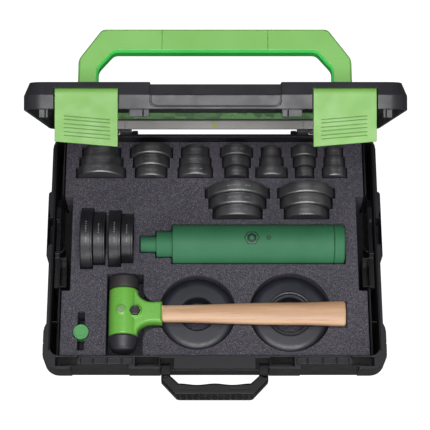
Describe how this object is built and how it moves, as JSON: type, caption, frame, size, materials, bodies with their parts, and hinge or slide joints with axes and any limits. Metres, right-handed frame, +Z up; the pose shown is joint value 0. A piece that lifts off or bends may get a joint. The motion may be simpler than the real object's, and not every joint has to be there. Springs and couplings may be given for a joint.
{
  "type": "bearing fitting tool kit in a carrying case",
  "caption": "Open carrying case with green latches and folding handles, holding stepped impact rings, nested impact sleeves and a mallet in a foam insert.",
  "frame": {"origin": "centre of the flat face under the tray, which the case stands on", "axes": "+X to the right seen from the front handle, +Y towards the lid's hinges, +Z up"},
  "size_m": [0.442, 0.4219, 0.4003],
  "materials": {
    "case_plastic": "textured moulded plastic",
    "handle_plastic": "textured moulded plastic",
    "green_plastic": "satin moulded plastic",
    "rail_plastic": "satin",
    "label_card": "printed card",
    "foam": "closed-cell foam, speckled",
    "ring_plastic": "satin moulded plastic",
    "anodised_green": "satin anodised",
    "steel": "brushed",
    "bolt_steel": "black oxide",
    "mallet_paint": "satin powder coat",
    "mallet_rubber": "matt",
    "hickory": "clear lacquered",
    "cap_plastic": "satin"
  },
  "bodies": {
    "tray": {"case_tray": "case_plastic", "tray_foam": "foam", "hinge_pin_left": "steel", "hinge_pin_right": "steel"},
    "lid": {"case_lid": "case_plastic", "lid_rail": "rail_plastic", "lid_label": "label_card", "carry_handle_pin_left": "steel", "carry_handle_pin_right": "steel"},
    "carry_handle": {"carry_handle": "green_plastic"},
    "latch_left": {"latch_left": "green_plastic"},
    "latch_right": {"latch_right": "green_plastic"},
    "front_handle": {"front_handle": "handle_plastic"},
    "side_catch_left": {"side_catch_left": "handle_plastic"},
    "side_catch_right": {"side_catch_right": "handle_plastic"},
    "stack1": {"stack1_ring_52": "ring_plastic", "stack1_ring_59": "ring_plastic", "stack1_ring_67": "ring_plastic"},
    "stack2": {"stack2_ring_58": "ring_plastic", "stack2_ring_49": "ring_plastic", "stack2_ring_43": "ring_plastic"},
    "stack3": {"stack3_ring_38": "ring_plastic", "stack3_ring_43": "ring_plastic", "stack3_ring_47": "ring_plastic"},
    "stack4": {"stack4_ring_44": "ring_plastic", "stack4_ring_38": "ring_plastic", "stack4_ring_32": "ring_plastic"},
    "stack5": {"stack5_ring_27": "ring_plastic", "stack5_ring_32": "ring_plastic", "stack5_ring_43": "ring_plastic"},
    "stack6": {"stack6_ring_35": "ring_plastic", "stack6_ring_30": "ring_plastic", "stack6_ring_25": "ring_plastic"},
    "stack7": {"stack7_ring_24": "ring_plastic", "stack7_ring_28": "ring_plastic", "stack7_ring_33": "ring_plastic"},
    "stack8": {"stack8_ring_87": "ring_plastic", "stack8_ring_77": "ring_plastic", "stack8_ring_66": "ring_plastic"},
    "stack9": {"stack9_ring_77": "ring_plastic", "stack9_ring_70": "ring_plastic", "stack9_ring_60": "ring_plastic"},
    "pair1": {"pair1_ring_84": "ring_plastic", "pair1_ring_73": "ring_plastic"},
    "pair2": {"pair2_ring_78": "ring_plastic", "pair2_ring_68": "ring_plastic"},
    "sleeves": {"impact_sleeve_small": "anodised_green", "impact_sleeve_medium": "anodised_green", "impact_sleeve_large": "anodised_green", "strike_cap": "anodised_green"},
    "mallet": {"mallet_housing": "mallet_paint", "mallet_handle": "hickory", "mallet_face_front": "mallet_rubber", "mallet_face_rear": "mallet_rubber", "mallet_clamp_bolt": "bolt_steel"},
    "flat_ring_100": {"flat_ring_100": "ring_plastic"},
    "flat_ring_106": {"flat_ring_106": "ring_plastic"},
    "green_cap": {"green_cap": "cap_plastic"}
  },
  "joints": [
    {"name": "lid_hinge", "type": "hinge", "parent": "tray", "child": "lid", "pos_m": [0, 0.17, 0.08], "axis": [-1, 0, 0], "range_deg": [-69.5, 33.5]},
    {"name": "carry_handle_swing", "type": "hinge", "parent": "lid", "child": "carry_handle", "pos_m": [0, 0.12699, 0.26356], "axis": [1, 0, 0], "range_deg": [0, 108.5]},
    {"name": "latch_left_swing", "type": "hinge", "parent": "lid", "child": "latch_left", "pos_m": [0, 0.07627, 0.3978], "axis": [-1, 0, 0], "range_deg": [0, 110]},
    {"name": "latch_right_swing", "type": "hinge", "parent": "lid", "child": "latch_right", "pos_m": [0, 0.07627, 0.3978], "axis": [-1, 0, 0], "range_deg": [0, 110]},
    {"name": "front_handle_swing", "type": "hinge", "parent": "tray", "child": "front_handle", "pos_m": [0, -0.1585, 0.068], "axis": [1, 0, 0], "range_deg": [0, 90]},
    {"name": "side_catch_left_press", "type": "slide", "parent": "tray", "child": "side_catch_left", "axis": [1, 0, 0], "range_m": [0, 0.004], "stiffness_N_per_m": 800},
    {"name": "side_catch_right_press", "type": "slide", "parent": "tray", "child": "side_catch_right", "axis": [-1, 0, 0], "range_m": [0, 0.004], "stiffness_N_per_m": 800},
    {"name": "stack1_lift", "type": "slide", "parent": "tray", "child": "stack1", "axis": [0, 0, 1], "range_m": [0, 0.06]},
    {"name": "stack2_lift", "type": "slide", "parent": "tray", "child": "stack2", "axis": [0, 0, 1], "range_m": [0, 0.06]},
    {"name": "stack3_lift", "type": "slide", "parent": "tray", "child": "stack3", "axis": [0, 0, 1], "range_m": [0, 0.06]},
    {"name": "stack4_lift", "type": "slide", "parent": "tray", "child": "stack4", "axis": [0, 0, 1], "range_m": [0, 0.06]},
    {"name": "stack5_lift", "type": "slide", "parent": "tray", "child": "stack5", "axis": [0, 0, 1], "range_m": [0, 0.06]},
    {"name": "stack6_lift", "type": "slide", "parent": "tray", "child": "stack6", "axis": [0, 0, 1], "range_m": [0, 0.06]},
    {"name": "stack7_lift", "type": "slide", "parent": "tray", "child": "stack7", "axis": [0, 0, 1], "range_m": [0, 0.06]},
    {"name": "stack8_lift", "type": "slide", "parent": "tray", "child": "stack8", "axis": [0, 0, 1], "range_m": [0, 0.06]},
    {"name": "stack9_lift", "type": "slide", "parent": "tray", "child": "stack9", "axis": [0, 0, 1], "range_m": [0, 0.06]},
    {"name": "pair1_lift", "type": "slide", "parent": "tray", "child": "pair1", "axis": [0, 0, 1], "range_m": [0, 0.07]},
    {"name": "pair2_lift", "type": "slide", "parent": "tray", "child": "pair2", "axis": [0, 0, 1], "range_m": [0, 0.07]},
    {"name": "sleeves_lift", "type": "slide", "parent": "tray", "child": "sleeves", "axis": [0, 0, 1], "range_m": [0, 0.08]},
    {"name": "mallet_lift", "type": "slide", "parent": "tray", "child": "mallet", "axis": [0, 0, 1], "range_m": [0, 0.1]},
    {"name": "flat_ring_100_lift", "type": "slide", "parent": "tray", "child": "flat_ring_100", "axis": [0, 0, 1], "range_m": [0, 0.05]},
    {"name": "flat_ring_106_lift", "type": "slide", "parent": "tray", "child": "flat_ring_106", "axis": [0, 0, 1], "range_m": [0, 0.05]},
    {"name": "green_cap_lift", "type": "slide", "parent": "tray", "child": "green_cap", "axis": [0, 0, 1], "range_m": [0, 0.04]}
  ],
  "couplings": [
    {"joint": "flat_ring_100_lift", "follows": "mallet_lift", "ratio": 0.5},
    {"joint": "flat_ring_106_lift", "follows": "mallet_lift", "ratio": 0.5}
  ]
}
